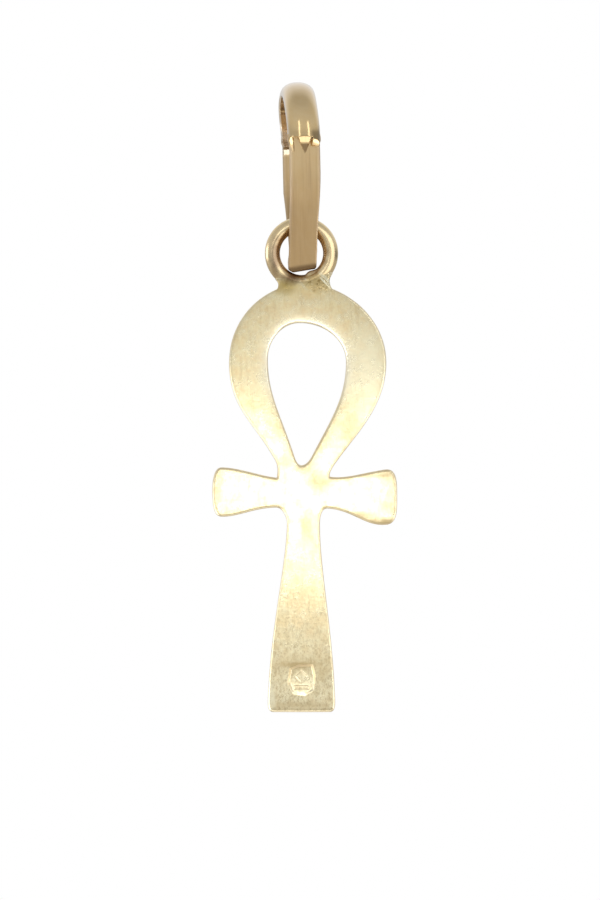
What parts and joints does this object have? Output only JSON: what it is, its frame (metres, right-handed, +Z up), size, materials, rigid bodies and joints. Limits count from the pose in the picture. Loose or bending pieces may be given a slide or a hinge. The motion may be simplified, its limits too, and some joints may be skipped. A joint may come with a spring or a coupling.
{
  "type": "ankh pendant",
  "caption": "Flat gold ankh with a drop-shaped loop and flared arms, hung by a soldered ring from a slip-on bail folded out of one tapering strip.",
  "frame": {"origin": "inner top of the bail's arch, where the chain bears", "axes": "+X to the viewer's right in the picture, +Y away from the viewer, +Z up along the hanging pendant"},
  "size_m": [0.0101, 0.0056, 0.0346],
  "materials": {
    "satin_gold": "yellow gold, satin with polished ring",
    "polished_gold": "yellow gold, polished arch and plain flat legs"
  },
  "bodies": {
    "bail": {"bail": "polished_gold"},
    "ankh": {"ankh": "satin_gold"}
  },
  "joints": [
    {"name": "ankh_swing", "type": "hinge", "parent": "bail", "child": "ankh", "pos_m": [0.00016, 0, -0.00704], "axis": [1, 0, 0], "range_deg": [-90, 90]}
  ]
}
